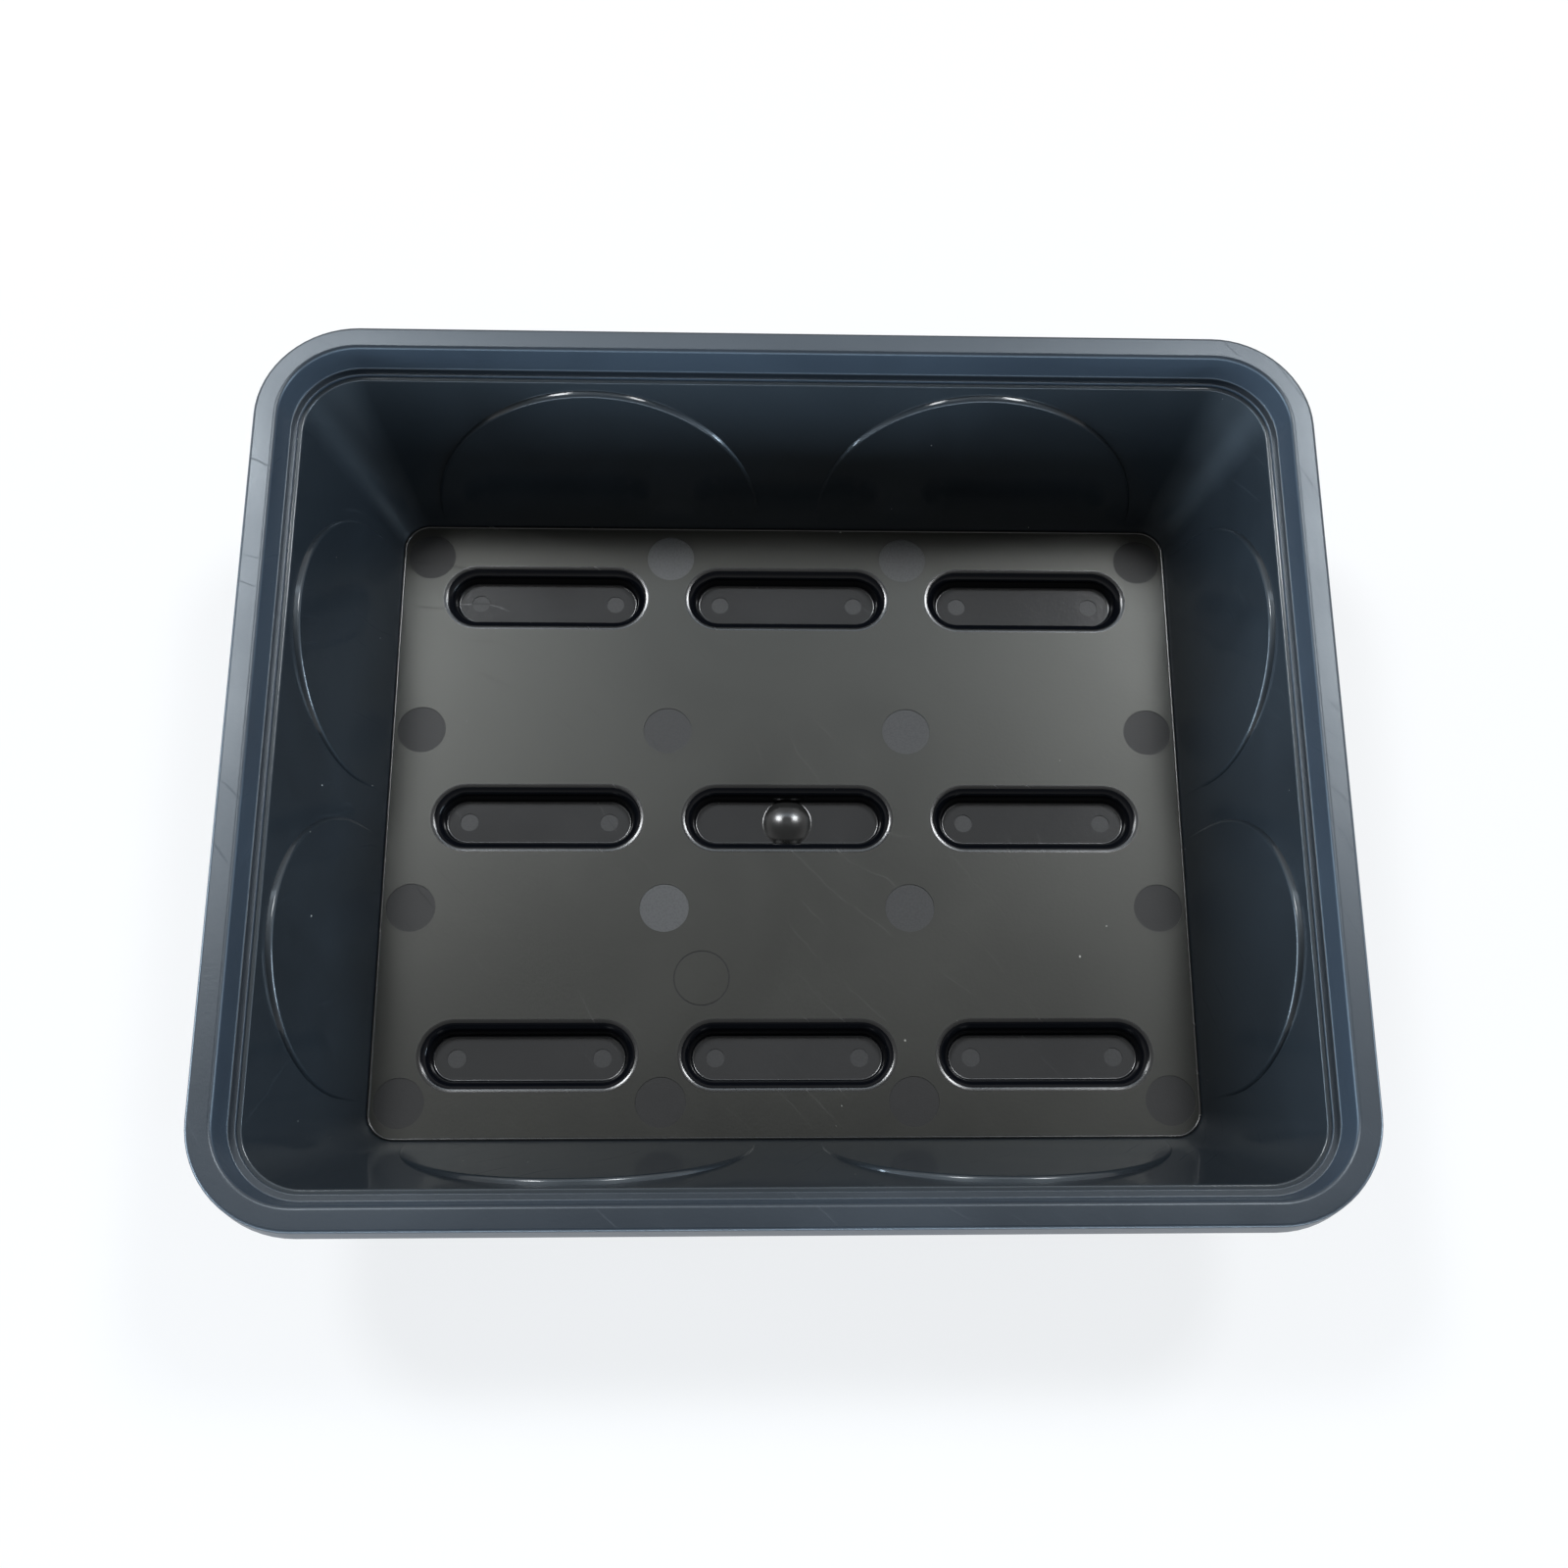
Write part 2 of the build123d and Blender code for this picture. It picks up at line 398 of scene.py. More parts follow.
def makeFeet(materials):
    size = recessSizes
    taper = tan(size["draft"])
    footTaper = size["footHeight"] * taper
    rounding = size["footRound"]
    levels = []
    for step in range(size["footSteps"] + 1):
        angle = step / size["footSteps"] * (pi / 2 - size["draft"])
        growth = traySizes["wall"] - footTaper - rounding + rounding * sin(angle)
        levels.append((obround(growth), rounding * (1 - cos(angle))))
    top = size["footHeight"] + overlap
    levels.append((obround(traySizes["wall"] - footTaper + top * taper), top))
    bm = bmesh.new()
    stack(bm, levels, size["arcSteps"])
    spread(bm, recessPlaces())
    return makeObject("feet", bm, materials)


def makeRecesses(materials):
    # Rounded out into the floor at the top, drafted, with a small root radius at the bottom
    size = recessSizes
    draft = size["draft"]
    edge = size["edgeRound"]
    mouth = edge * tan(pi / 4 - draft / 2)
    levels = [(obround(mouth), floorTop + standOut)]
    for step in range(size["edgeSteps"] + 1):
        angle = pi / 2 + step / size["edgeSteps"] * (pi / 2 - draft)
        finish = rubbedEdgeAndSheen if step <= size["rubbedSteps"] else recessEdge
        height = floorTop - edge + edge * sin(angle)
        levels.append((obround(mouth + edge * cos(angle)), height, finish))
    root = size["rootRound"]
    footGrowth = -size["footHeight"] * tan(draft)
    centre = footGrowth - root * tan(pi / 4 - draft / 2)
    for step in range(size["rootSteps"] + 1):
        angle = -draft - step / size["rootSteps"] * (pi / 2 - draft)
        finish = rubbedEdgeAndSheen if step == size["rootSteps"] else recessEdge
        height = recessFloor + root + root * sin(angle)
        levels.append((obround(centre + root * cos(angle)), height, finish))
    bm = bmesh.new()
    stack(bm, levels, size["arcSteps"], capMaterial=recessGround)
    spread(bm, recessPlaces())
    return makeObject("recesses", bm, materials)


def wallFrames():
    # Each wall's direction along it, its way out, half the floor's and the wall top's span, panels
    top = rimOutline(wallInset)
    longWall = (traySizes["floorWidth"] / 2, top[1] / 2, panelSizes["long"])
    shortWall = (traySizes["floorLength"] / 2, top[0] / 2, panelSizes["short"])
    return [
        (Vector((-1, 0, 0)), Vector((0, 1, 0)), *longWall),
        (Vector((1, 0, 0)), Vector((0, -1, 0)), *longWall),
        (Vector((0, 1, 0)), Vector((1, 0, 0)), *shortWall),
        (Vector((0, -1, 0)), Vector((-1, 0, 0)), *shortWall),
    ]


def panelPlace(along, outward, halfFoot, halfTop):
    # A frame on the panels' face: x along the wall, y up it, z out through it
    up = Vector((0, 0, 1))
    wallHeight = wallTop - floorTop
    lean = atan2(halfTop - halfFoot, wallHeight)
    length = hypot(halfTop - halfFoot, wallHeight) * (1 - panelSizes["footGap"] / wallHeight)
    faceLean = lean - atan2(panelSizes["rise"], length)
    foot = outward * (halfFoot + panelSizes["footGap"] * tan(lean))
    foot += up * (floorTop + panelSizes["footGap"])
    rise = outward * sin(faceLean) + up * cos(faceLean)
    normal = outward * cos(faceLean) - up * sin(faceLean)
    place = Matrix((along, rise, normal)).transposed().to_4x4()
    place.translation = foot
    return place, length


def archLevels(halfWidth, spring, headHeight, levels):
    # A round-headed block through (growth, depth) levels, legs down past the panel's foot
    bm = bmesh.new()
    full = spring + halfWidth
    corners = addPlate(bm, 2 * halfWidth, full, (0, full / 2, 0))
    headCorners = [vert for vert in corners if vert.co.y > spring]
    roundCorners(bm, headCorners, halfWidth, panelSizes["arcSteps"])
    ring = bm.edges[:]
    arch = {}
    for vert in bm.verts:
        arch[vert] = (vert.co.x / halfWidth, max(0, vert.co.y - spring) / halfWidth)
    verts = bm.verts[:]
    for index, (growth, depth) in enumerate(levels):
        if index:
            shapes = [arch[vert] for vert in verts]
            flat = [vert.co.xy.copy() for vert in verts]
            grown = bmesh.ops.extrude_edge_only(bm, edges=ring)["geom"]
            verts = only(BMVert, grown)
            ring = only(BMEdge, grown)
            for vert in verts:
                near = min(range(len(flat)), key=lambda i: (flat[i] - vert.co.xy).length)
                arch[vert] = shapes[near]
        for vert in verts:
            across, upward = arch[vert]
            if upward > 0:
                height = spring + upward * (headHeight + growth)
            elif vert.co.y > spring / 2:
                height = spring
            else:
                height = -panelSizes["footGap"]
            vert.co = (across * (halfWidth + growth), height, depth)
    bmesh.ops.contextual_create(bm, geom=ring)
    bmesh.ops.recalc_face_normals(bm, faces=bm.faces[:])
    return bm


def makePanels(materials, hollow):
    # The raised panels with rounded edges, or the hollows that keep the wall even behind them
    size = panelSizes
    reach = size["rise"] + overlap
    rounding = size["edgeRound"]
    slope = size["edgeSlope"]
    if hollow:
        near = -size["coreInset"]
        levels = [(near, traySizes["wall"]), (near, traySizes["wall"] + reach)]
    else:
        shift = rounding * tan((pi / 2 - slope) / 2)
        levels = []
        for step in range(size["edgeSteps"] + 1):
            angle = step / size["edgeSteps"] * (pi / 2 - slope)
            levels.append((rounding * sin(angle) - shift, rounding * (1 - cos(angle))))
        levels.append((reach * tan(slope), reach))
    whole = bmesh.new()
    for along, outward, halfFoot, halfTop, panel in wallFrames():
        place, length = panelPlace(along, outward, halfFoot, halfTop)
        headHeight = length - size["topMargin"] - panel["spring"]
        for side in (-1, 1):
            block = archLevels(panel["halfWidth"], panel["spring"], headHeight, levels)
            block.transform(place @ Matrix.Translation((side * panel["spacing"] / 2, 0, 0)))
            held = bpy.data.meshes.new("block")
            block.to_mesh(held)
            block.free()
            whole.from_mesh(held)
            bpy.data.meshes.remove(held)
    return makeObject("hollows" if hollow else "panels", whole, materials)


def circle(radius):
    return 2 * radius, 2 * radius, radius


def makeCap(materials, baseHeight, baseRadius):
    # A shallow dome on the tray's axis, with a short stub below its base
    height = gateSizes["domeHeight"]
    sphere = (baseRadius**2 + height**2) / (2 * height)
    reach = atan2(baseRadius, sphere - height)
    levels = [(circle(baseRadius), baseHeight - overlap)]
    for ring in range(gateSizes["rings"]):
        angle = reach * (1 - ring / gateSizes["rings"])
        top = baseHeight + height - sphere + sphere * cos(angle)
        levels.append((circle(sphere * sin(angle)), top))
    bm = bmesh.new()
    stack(bm, levels, gateSizes["arcSteps"], rubbedEdgeAndSheen)
    return makeObject("cap", bm, materials)


def makeNib(materials):
    # What is left of the sprue, hanging in the dimple
    edge = circle(gateSizes["nibRadius"])
    top = gateSizes["domeHeight"]
    bm = bmesh.new()
    levels = [(edge, top - gateSizes["nibLength"]), (edge, top + overlap)]
    stack(bm, levels, gateSizes["arcSteps"], recessEdge)
    return makeObject("nib", bm, materials)


def makeDiscs(materials, places, diameter, top):
    # Round marks sunk a little below a face
    edge = circle(diameter / 2)
    bm = bmesh.new()
    levels = [(edge, top - markSizes["depth"]), (edge, top + standOut)]
    stack(bm, levels, markSizes["arcSteps"], pinMark)
    spread(bm, [Matrix.Translation((x, y, 0)) for x, y in places])
    return makeObject("discs", bm, materials)


def makeStamp(materials):
    # The edge of a round mould insert: a fine ring, dull at its bottom, with sides painted dark as
    # shade
    size = markSizes
    x, y = size["stampPlace"]
    bm = bmesh.new()
    for side in (1, -1):
        radius = (size["stampDiameter"] + side * size["stampLine"]) / 2
        bmesh.ops.create_circle(bm, segments=size["stampSides"], radius=radius)
    bmesh.ops.bridge_loops(bm, edges=bm.edges[:])
    bmesh.ops.translate(bm, vec=(x, y, floorTop - size["depth"]), verts=bm.verts[:])
    grown = bmesh.ops.extrude_face_region(bm, geom=bm.faces[:])["geom"]
    rise = (0, 0, size["depth"] + standOut)
    bmesh.ops.translate(bm, vec=rise, verts=only(BMVert, grown))
    bmesh.ops.recalc_face_normals(bm, faces=bm.faces[:])
    bm.normal_update()
    for face in bm.faces:
        level = abs(face.normal.z) > 0.5
        face.material_index = pinMark if level else recessEdge
    return makeObject("stamp", bm, materials)


def pinPlaces():
    return [(x, y) for x in markSizes["pinColumns"] for y in markSizes["pinRows"]]


def corePlaces():
    # Two core marks in each recess, but in the middle one, which has the gate
    half = markSizes["coreSpacing"] / 2
    middles = [place.translation for place in recessPlaces()]
    return [
        (middle.x + side * half, middle.y)
        for middle in middles
        for side in (-1, 1)
        if middle.length > gateSizes["domeRadius"]
    ]


def notePinSheen(bm):
    # Each round mark's share of painted sheen, from dull to bright, for its material to read
    layer = bm.faces.layers.float.new("pinSheenShare")
    for face in bm.faces:
        if face.material_index == pinMark:
            middle = face.calc_center_median()
            if middle.z < recessFloor:
                face[layer] = markSizes["coreSheenShare"]
            for (x, y), finish in markSizes["pinSheenShare"].items():
                if hypot(middle.x - x, middle.y - y) < markSizes["pinDiameter"]:
                    face[layer] = finish


def makeTray(materials):
    tray = makeShell(materials)
    combine(tray, makePanels(materials, hollow=False), "UNION")
    combine(tray, makePanels(materials, hollow=True), "DIFFERENCE")
    combine(tray, makeFeet(materials), "UNION")
    combine(tray, makeRecesses(materials), "DIFFERENCE")
    combine(tray, makeCap(materials, recessFloor, gateSizes["domeRadius"]), "UNION")
    combine(tray, makeCap(materials, 0, gateSizes["dimpleRadius"]), "DIFFERENCE")
    combine(tray, makeNib(materials), "UNION")
    pins = makeDiscs(materials, pinPlaces(), markSizes["pinDiameter"], floorTop)
    combine(tray, pins, "DIFFERENCE")
    cores = makeDiscs(materials, corePlaces(), markSizes["coreDiameter"], recessFloor)
    combine(tray, cores, "DIFFERENCE")
    combine(tray, makeStamp(materials), "DIFFERENCE")
    bm = bmesh.new()
    bm.from_mesh(tray.data)
    bmesh.ops.remove_doubles(bm, verts=bm.verts[:], dist=weldGap)
    bmesh.ops.dissolve_degenerate(bm, edges=bm.edges[:], dist=weldGap)
    notePinSheen(bm)
    bmesh.ops.scale(bm, vec=[1 / perMetre] * 3, verts=bm.verts[:])
    for face in bm.faces:
        face.smooth = True
    bm.to_mesh(tray.data)
    bm.free()
    tray.data.set_sharp_from_angle(angle=traySizes["sharpAngle"])
    weighted = tray.modifiers.new("flat faces lead", "WEIGHTED_NORMAL")
    weighted.keep_sharp = True
    weighted.weight = traySizes["flatWeight"]
    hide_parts("tray")
    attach(tray, "root")
    return tray


def addNode(tree, kind, **settings):
    made = tree.nodes.new(kind)
    for name, value in settings.items():
        setattr(made, name, value)
    return made


def feed(tree, socket, value):
    # Joins another node's output to a socket, or sets the socket to a plain value
    if isinstance(value, bpy.types.NodeSocket):
        tree.links.new(value, socket)
    else:
        socket.default_value = value


def calculate(tree, operation, *values):
    made = addNode(tree, "ShaderNodeMath", operation=operation)
    for socket, value in zip(made.inputs, values):
        feed(tree, socket, value)
    return made.outputs[0]


def remap(tree, value, fromLow, fromHigh, toLow, toHigh, smooth=False):
    kind = "SMOOTHSTEP" if smooth else "LINEAR"
    made = addNode(tree, "ShaderNodeMapRange", interpolation_type=kind)
    names = ("Value", "From Min", "From Max", "To Min", "To Max")
    for name, limit in zip(names, (value, fromLow, fromHigh, toLow, toHigh)):
        feed(tree, made.inputs[name], limit)
    return made.outputs["Result"]


def addNoise(tree, vector, scale, **settings):
    made = addNode(tree, "ShaderNodeTexNoise")
    for name, value in {"Vector": vector, "Scale": scale, **settings}.items():
        feed(tree, made.inputs[name], value)
    return made.outputs


def newGroup(name, values, result):
    # A node group on a vector and named values, with what it takes and the socket of its result
    group = bpy.data.node_groups.new(name, "ShaderNodeTree")
    group.interface.new_socket(name="Vector", in_out="INPUT", socket_type="NodeSocketVector")
    for label, value in values.items():
        added = group.interface.new_socket(
            name=label, in_out="INPUT", socket_type="NodeSocketFloat"
        )
        added.default_value = value
    group.interface.new_socket(name=result, in_out="OUTPUT", socket_type="NodeSocketFloat")
    taken = group.nodes.new("NodeGroupInput").outputs
    return group, taken, group.nodes.new("NodeGroupOutput").inputs[result]


def makeGrainGroup():
    # The mould's fine eroded grain, for bumps and small changes of gloss
    group, taken, result = newGroup("mould grain", {"Scale": 1100.0}, "Height")
    noise = addNoise(group, taken["Vector"], taken["Scale"], Detail=3, Roughness=0.6)
    feed(group, result, noise["Fac"])
    return group


cloudRange = (0.3, 0.7)  # the noise's, stretched over the whole


def makeCloudGroup():
    # Broad, soft unevenness of the plastic's skin
    group, taken, result = newGroup("uneven skin", {"Scale": 20.0}, "Value")
    noise = addNoise(group, taken["Vector"], taken["Scale"], Detail=4, Distortion=0.8)
    feed(group, result, remap(group, noise["Fac"], *cloudRange, 0, 1, True))
    return group


dustLook = {
    "rarity": 3,  # the higher, the more cells have only a tiny speck
    "rippleScale": 2500,  # of the ragged outline
    "rippleBase": 0.4,
    "core": 0.5,  # the share of a speck's radius that is full dust
}


def makeDustGroup():
    # Scattered specks of dust and lint, no two of one size
    look = dustLook
    group, taken, result = newGroup("dust specks", {"Scale": 150.0, "Size": 0.05}, "Mask")
    ripple = addNoise(group, taken["Vector"], look["rippleScale"])
    cells = addNode(group, "ShaderNodeTexVoronoi")
    feed(group, cells.inputs["Randomness"], 1)
    feed(group, cells.inputs["Vector"], taken["Vector"])
    feed(group, cells.inputs["Scale"], taken["Scale"])
    parts = addNode(group, "ShaderNodeSeparateColor")
    feed(group, parts.inputs[0], cells.outputs["Color"])
    chance = calculate(group, "POWER", parts.outputs[0], look["rarity"])
    edge = calculate(group, "MULTIPLY", chance, taken["Size"])
    uneven = calculate(group, "ADD", ripple["Fac"], look["rippleBase"])
    ragged = calculate(group, "MULTIPLY", edge, uneven)
    inner = calculate(group, "MULTIPLY", ragged, look["core"])
    feed(group, result, remap(group, cells.outputs["Distance"], inner, ragged, 1, 0, True))
    return group


scratchLook = {
    "bendScale": 9,
    "bend": 0.06,  # metres
    "distortion": 1.5,
    "crest": 0.992,  # how high on a band a line starts
    "patchScale": 60,
    "patchStart": 0.75,  # in the patches' noise, less the share
    "patchEdge": 0.12,
}


def makeScratchGroup():
    # Short hairline scratches: the crests of bent bands, kept only in patches
    look = scratchLook
    sizes = {"Scale": 70.0, "Share": 0.22}
    group, taken, result = newGroup("hairline scratches", sizes, "Mask")
    bend = addNoise(group, taken["Vector"], look["bendScale"], Detail=1)
    turned = addNode(group, "ShaderNodeVectorMath", operation="MULTIPLY_ADD")
    feed(group, turned.inputs[0], bend["Color"])
    feed(group, turned.inputs[1], [look["bend"]] * 3)
    feed(group, turned.inputs[2], taken["Vector"])
    bands = addNode(group, "ShaderNodeTexWave", wave_type="BANDS", bands_direction="DIAGONAL")
    feed(group, bands.inputs["Vector"], turned.outputs[0])
    feed(group, bands.inputs["Scale"], taken["Scale"])
    feed(group, bands.inputs["Distortion"], look["distortion"])
    patches = addNoise(group, taken["Vector"], look["patchScale"])
    lines = remap(group, bands.outputs["Fac"], look["crest"], 1, 0, 1)
    lowest = calculate(group, "SUBTRACT", look["patchStart"], taken["Share"])
    highest = calculate(group, "ADD", lowest, look["patchEdge"])
    where = remap(group, patches["Fac"], lowest, highest, 0, 1, True)
    feed(group, result, calculate(group, "MULTIPLY", lines, where))
    return group


wearLook = {
    "samples": 4,
    "turn": (0.995, 0.9),  # cosines of the turns between which wear grows
    "broken": (0.45, 0.65),  # the noise's range between bare and worn
}


def makeWearGroup():
    # Rubbed edges: where the rounded normal leaves the true one, broken up by noise
    look = wearLook
    group, taken, result = newGroup("edge wear", {"Width": 0.0006, "Scale": 180.0}, "Mask")
    rounded = addNode(group, "ShaderNodeBevel", samples=look["samples"])
    feed(group, rounded.inputs["Radius"], taken["Width"])
    shape = addNode(group, "ShaderNodeNewGeometry")
    facing = addNode(group, "ShaderNodeVectorMath", operation="DOT_PRODUCT")
    feed(group, facing.inputs[0], rounded.outputs["Normal"])
    feed(group, facing.inputs[1], shape.outputs["Normal"])
    edges = remap(group, facing.outputs["Value"], *look["turn"], 0, 1)
    noise = addNoise(group, taken["Vector"], taken["Scale"], Detail=5)
    broken = remap(group, noise["Fac"], *look["broken"], 0, 1, True)
    feed(group, result, calculate(group, "MULTIPLY", edges, broken))
    return group


effects = {
    "grain": makeGrainGroup(),
    "clouds": makeCloudGroup(),
    "dust": makeDustGroup(),
    "scratches": makeScratchGroup(),
    "wear": makeWearGroup(),
}


def useEffect(tree, effect, vector, **values):
    # Puts a shared effect into a material with its own values
    made = addNode(tree, "ShaderNodeGroup", node_tree=effects[effect])
    for name, value in {"Vector": vector, **values}.items():
        feed(tree, made.inputs[name], value)
    return made.outputs[0]


def mixColour(tree, factor, low, high):
    # The mix node's colours go in at its inputs 6 and 7 and come out at its output 2
    made = addNode(tree, "ShaderNodeMix", data_type="RGBA")
    feed(tree, made.inputs["Factor"], factor)
    for index, colour in ((6, low), (7, high)):
        feed(tree, made.inputs[index], (*colour, 1) if isinstance(colour, tuple) else colour)
    return made.outputs[2]


# What a finish has where it doesn't say otherwise
plainFinish = {"paintedReflectionTint": (1.0, 1.0, 1.0), "coat": 0.0, "waves": 0.0, "dust": 0.04, "wear": 0.0}

# Each finish's reflection tint is painted light: cool on the walls, rim and steps, warm on the
# floor, for the colour of the light that they reflect
finishes = {
    "glossyWall": {
        # The walls' bluish colour is painted light: the blue cast of the light on the black
        # plastic
        "colours": ((0.0065, 0.009, 0.012), (0.01, 0.0135, 0.0175)),
        "roughness": (0.4, 0.46),
        "specular": 0.4,
        "paintedReflectionTint": (0.82, 0.93, 1.0),
        "coat": 0.55,
        "grain": (1400.0, 0.03),
        "waves": 0.15,
        "dust": 0.05,
        "wear": 0.03,
    },
    "satinRim": {
        # The rim's lighter, bluer colour is painted sheen: the bluish sheen that the black plastic
        # shows on the flange and seat
        "colours": ((0.01, 0.014, 0.0195), (0.013, 0.018, 0.025)),
        "roughness": (0.34, 0.39),
        "specular": 0.66,
        "paintedReflectionTint": (0.86, 0.94, 1.0),
        "grain": (1100.0, 0.08),
        "dust": 0.05,
        "wear": 0.06,
    },
    "paintedLitSatinStep": {
        # A lit copy of the rim's plastic: painted lighter and bluer, as painted light from the
        # front on the risers and the lip's drop
        "colours": ((0.019, 0.026, 0.036), (0.023, 0.032, 0.044)),
        "roughness": (0.4, 0.46),
        "specular": 0.6,
        "paintedReflectionTint": (0.82, 0.93, 1.0),
        "grain": (1100.0, 0.08),
        "dust": 0.05,
        "wear": 0.04,
    },
    "satinFloor": {
        # The floor's slight warmth, in its colour and its tint, is a painted reflection of warm
        # light
        "colours": ((0.005, 0.005, 0.0045), (0.008, 0.008, 0.007)),
        "roughness": (0.34, 0.38),
        "specular": 0.5,
        "paintedReflectionTint": (0.99, 1.0, 0.94),
        "grain": (1300.0, 0.06),
        "dust": 0.055,
        "wear": 0.02,
    },
    "rubbedEdgeAndSheen": {
        # A little lighter than the floor: painted sheen on the gate dome, the floor's bead and the
        # recesses' rounded mouths and roots; smoother than the floor
        "colours": ((0.01, 0.01, 0.0095), (0.014, 0.014, 0.0135)),
        "roughness": (0.22, 0.25),
        "specular": 0.7,
        "grain": (1300.0, 0.04),
    },
    "polishedShadedEdge": {
        # Darker than the floor: painted shade in the recesses' mouths and walls, on the nib and on
        # the stamp ring's sides; smooth
        "colours": ((0.002, 0.0025, 0.004), (0.003, 0.0035, 0.005)),
        "roughness": (0.12, 0.16),
        "specular": 0.15,
        "grain": (1500.0, 0.02),
    },
    "recessGround": {
        # Lighter than the rest of the plastic: painted sheen, the even glow of the recess floors
        "colours": ((0.036, 0.036, 0.0362), (0.041, 0.041, 0.0412)),
        "roughness": (0.12, 0.15),
        "specular": 0.27,
        "grain": (1200.0, 0.1),
    },
    "pinMark": {
        "colours": ((0.01, 0.01, 0.01), (0.014, 0.014, 0.014)),
        "roughness": (0.43, 0.48),
        "specular": 0.3,
        "grain": (2200.0, 0.1),
    },
}

skin = {
    "index": 1.5,  # of refraction
    "coatRoughness": 0.1,
    "coatLeast": 0.8,  # the share of the coat that its thinnest patches keep
    "grainHeight": 0.0002,  # metres
    "grainRoughness": 0.03,
    "scratchDepth": 0.25,  # beside the grain's height
    "scratchDull": 0.3,  # beside the dust's
    "markRoughness": 0.4,
    "waveScale": 28.0,
    "waveHeight": 0.0003,  # metres
    "grainRange": (0.4, 0.6),
    "speckle": (0.8, 1.15),  # how the grain varies a mark's painted sheen over that range
    "dustColour": (0.35, 0.35, 0.33),
    "wornColour": (0.16, 0.17, 0.18),
    # The colour of the round marks' painted sheen
    "pinSheenColour": (0.075, 0.077, 0.079),
}


def addBump(tree, strength, distance, **links):
    made = addNode(tree, "ShaderNodeBump")
    for name, value in {"Strength": strength, "Distance": distance, **links}.items():
        feed(tree, made.inputs[name], value)
    return made.outputs["Normal"]


def makePlastic(name):
    finish = {**plainFinish, **finishes[name]}
    grainScale, grainDepth = finish["grain"]
    material = bpy.data.materials.new(name)
    material.use_nodes = True
    tree = material.node_tree
    vector = addNode(tree, "ShaderNodeTexCoord").outputs["Object"]
    clouds = useEffect(tree, "clouds", vector)
    grain = useEffect(tree, "grain", vector, Scale=grainScale)
    dust = useEffect(tree, "dust", vector, Size=finish["dust"])
    scratches = useEffect(tree, "scratches", vector)
    colour = mixColour(tree, clouds, *finish["colours"])
    if finish["wear"]:
        share = calculate(tree, "MULTIPLY", useEffect(tree, "wear", vector), finish["wear"])
        colour = mixColour(tree, share, colour, skin["wornColour"])
    # Some round marks are painted lighter: painted sheen where their faces catch the light
    if name == "pinMark":
        own = addNode(tree, "ShaderNodeAttribute", attribute_name="pinSheenShare").outputs["Fac"]
        speckle = remap(tree, grain, *skin["grainRange"], *skin["speckle"])
        share = calculate(tree, "MULTIPLY", own, speckle)
        colour = mixColour(tree, share, colour, skin["pinSheenColour"])
    roughness = remap(tree, clouds, 0, 1, *finish["roughness"])
    dull = calculate(tree, "MULTIPLY", scratches, skin["scratchDull"])
    marks = calculate(tree, "MAXIMUM", dust, dull)
    for effect, amount in ((marks, skin["markRoughness"]), (grain, skin["grainRoughness"])):
        added = calculate(tree, "MULTIPLY", effect, amount)
        roughness = calculate(tree, "ADD", roughness, added)
    cuts = calculate(tree, "MULTIPLY", scratches, -skin["scratchDepth"])
    height = calculate(tree, "ADD", grain, cuts)
    normal = addBump(tree, grainDepth, skin["grainHeight"], Height=height)
    values = {
        "IOR": skin["index"],
        "Specular IOR Level": finish["specular"],
        # The reflections take the finish's painted tint: the colour of the light, not of the
        # plastic
        "Specular Tint": (*finish["paintedReflectionTint"], 1),
        "Coat Roughness": skin["coatRoughness"],
        "Base Color": mixColour(tree, dust, colour, skin["dustColour"]),
        "Roughness": roughness,
    }
    if finish["coat"]:
        least = finish["coat"] * skin["coatLeast"]
        values["Coat Weight"] = remap(tree, clouds, 0, 1, finish["coat"], least)
    if finish["waves"]:
        waves = useEffect(tree, "clouds", vector, Scale=skin["waveScale"])
        links = {"Height": waves, "Normal": normal}
        normal = addBump(tree, finish["waves"], skin["waveHeight"], **links)
        values["Coat Normal"] = normal
    values["Normal"] = normal
    for label, value in values.items():
        feed(tree, tree.nodes["Principled BSDF"].inputs[label], value)
    return material


tray = makeTray([makePlastic(name) for name in finishes])
print("tray made:", len(tray.data.polygons), "faces")

# Millimetres; the power of each lamp in watts
studio = {
    "lamps": {
        "keyLeft": {
            "place": (-940, 1040, 2006),
            "size": (480, 480),
            "power": 34.0,
            "colour": (0.96, 0.98, 1.0),
        },
        "keyRight": {
            "place": (940, 1040, 2006),
            "size": (480, 480),
            "power": 30.0,
            "colour": (0.96, 0.98, 1.0),
        },
        "panelBack": {
            "place": (0, 690, 1000),
            "size": (1500, 140),
            "power": 2.5,
            "colour": (0.74, 0.87, 1.0),
        },
        "fillFront": {
            "place": (0, -1200, 150),
            "size": (2400, 170),
            "power": 24.0,
            "colour": (0.66, 0.83, 1.0),
        },
        "fillLeft": {
            "place": (-1200, -150, 220),
            "size": (1200, 170),
            "power": 24.0,
            "colour": (0.66, 0.83, 1.0),
        },
        "fillRight": {
            "place": (1200, -150, 300),
            "size": (500, 170),
            "power": 13.0,
            "colour": (0.66, 0.83, 1.0),
        },
    },
    "skyColour": (0.86, 0.94, 1.0),
    "skyStrength": 0.12,
    "zenith": 0.2,  # how bright the surroundings are overhead, beside white at the horizon
    "dimming": (0.35, 0.85),  # the upward parts of a direction between which they grow dimmer
    "floorReach": 4000.0,
    "floorColour": (0.7, 0.7, 0.7),
    "floorGlow": 0.75,
}


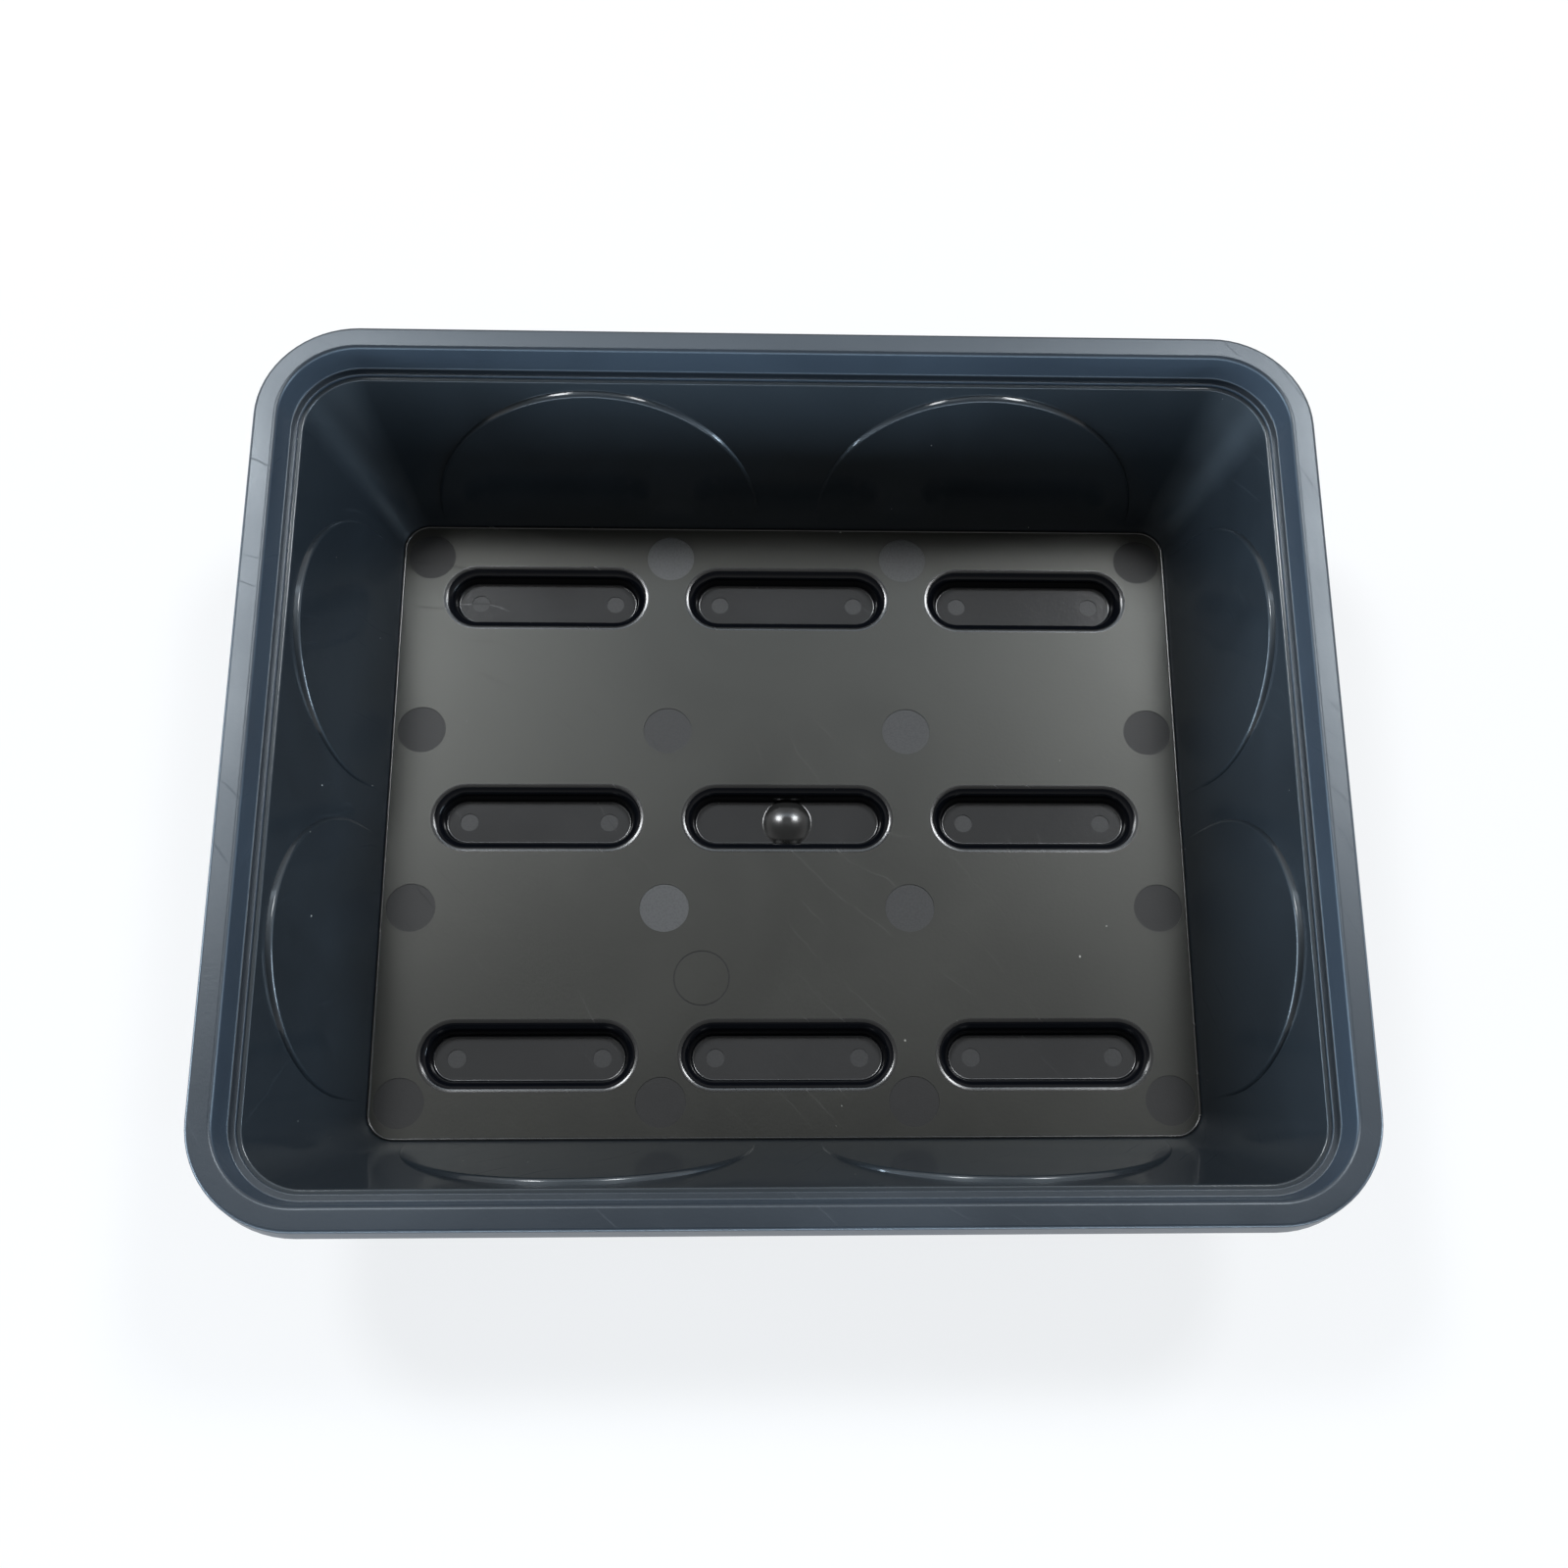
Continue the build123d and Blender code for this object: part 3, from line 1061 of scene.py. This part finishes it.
def addLamps():
    for name, settings in studio["lamps"].items():
        lamp = bpy.data.lights.new(name, "AREA")
        lamp.shape = "RECTANGLE"
        lamp.size, lamp.size_y = (side / perMetre for side in settings["size"])
        lamp.energy = settings["power"]
        lamp.color = settings["colour"]
        holder = bpy.data.objects.new(name, lamp)
        where = Vector(settings["place"])
        holder.location = where / perMetre
        holder.rotation_euler = where.to_track_quat("Z", "Y").to_euler()
        scene.collection.objects.link(holder)


def seenDirectly(tree):
    # 1 for rays that show the background: from the camera, off gloss and through glass
    path = addNode(tree, "ShaderNodeLightPath").outputs
    seen = calculate(tree, "MAXIMUM", path["Is Camera Ray"], path["Is Glossy Ray"])
    return calculate(tree, "MAXIMUM", seen, path["Is Transmission Ray"])


def mixShaders(tree, factor, low, high, surface):
    mix = addNode(tree, "ShaderNodeMixShader")
    for socket, value in zip(mix.inputs, (factor, low.outputs[0], high.outputs[0])):
        feed(tree, socket, value)
    feed(tree, surface, mix.outputs[0])


def addWorld():
    world = bpy.data.worlds.new("studio")
    world.use_nodes = True
    tree = world.node_tree
    light = tree.nodes["Background"]
    feed(tree, light.inputs["Color"], (*studio["skyColour"], 1))
    feed(tree, light.inputs["Strength"], studio["skyStrength"])
    # The surroundings that show in the gloss: white round the horizon, dimmer overhead
    backdrop = addNode(tree, "ShaderNodeBackground")
    parts = addNode(tree, "ShaderNodeSeparateXYZ")
    feed(tree, parts.inputs[0], addNode(tree, "ShaderNodeTexCoord").outputs["Generated"])
    upward = parts.outputs["Z"]
    strength = remap(tree, upward, *studio["dimming"], 1, studio["zenith"], True)
    feed(tree, backdrop.inputs["Color"], (1, 1, 1, 1))
    feed(tree, backdrop.inputs["Strength"], strength)
    surface = tree.nodes["World Output"].inputs["Surface"]
    mixShaders(tree, seenDirectly(tree), light, backdrop, surface)
    scene.world = world


def addFloor():
    material = bpy.data.materials.new("paleFloor")
    material.use_nodes = True
    tree = material.node_tree
    matte = tree.nodes["Principled BSDF"]
    feed(tree, matte.inputs["Base Color"], (*studio["floorColour"], 1))
    feed(tree, matte.inputs["Roughness"], 1)
    feed(tree, matte.inputs["Specular IOR Level"], 0)
    glow = addNode(tree, "ShaderNodeEmission")
    share = calculate(tree, "MULTIPLY", seenDirectly(tree), studio["floorGlow"])
    mixShaders(tree, share, matte, glow, tree.nodes["Material Output"].inputs["Surface"])
    bm = bmesh.new()
    reach = studio["floorReach"] / perMetre
    bmesh.ops.create_grid(bm, x_segments=1, y_segments=1, size=reach)
    makeObject("floor", bm, [material])


addLamps()
addWorld()
addFloor()
scene.view_settings.view_transform = "Standard"
print("studio set")
